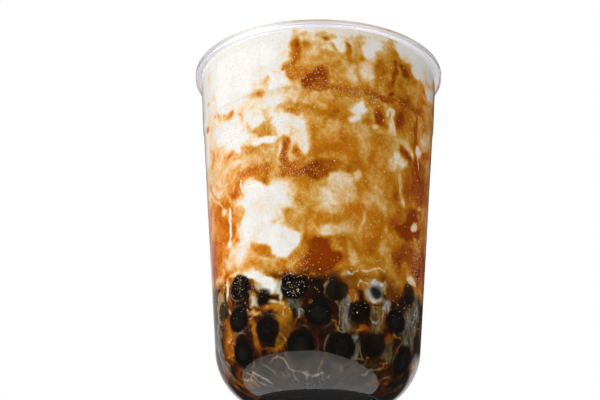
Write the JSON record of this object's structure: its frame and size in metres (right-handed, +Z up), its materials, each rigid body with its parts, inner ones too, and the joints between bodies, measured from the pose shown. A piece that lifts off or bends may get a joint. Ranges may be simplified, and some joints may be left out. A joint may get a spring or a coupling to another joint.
{
  "type": "bubble tea",
  "caption": "Clear plastic cup with a round bowl foot and a flanged rim, filled with milk marbled by brown sugar syrup over dark tapioca pearls.",
  "frame": {"origin": "centre of the foot ring, on the surface that the cup stands on", "axes": "+Z up along the cup's axis; -Y is the front that the picture shows"},
  "size_m": [0.09, 0.09, 0.122],
  "materials": {
    "clear_plastic": "clear and glossy",
    "milk_and_syrup": "wet, milk marbled with brown syrup",
    "tapioca": "wet and glossy, nearly black"
  },
  "bodies": {
    "root": {"cup": "clear_plastic", "drink": "milk_and_syrup", "pearls": "tapioca"}
  },
  "joints": []
}
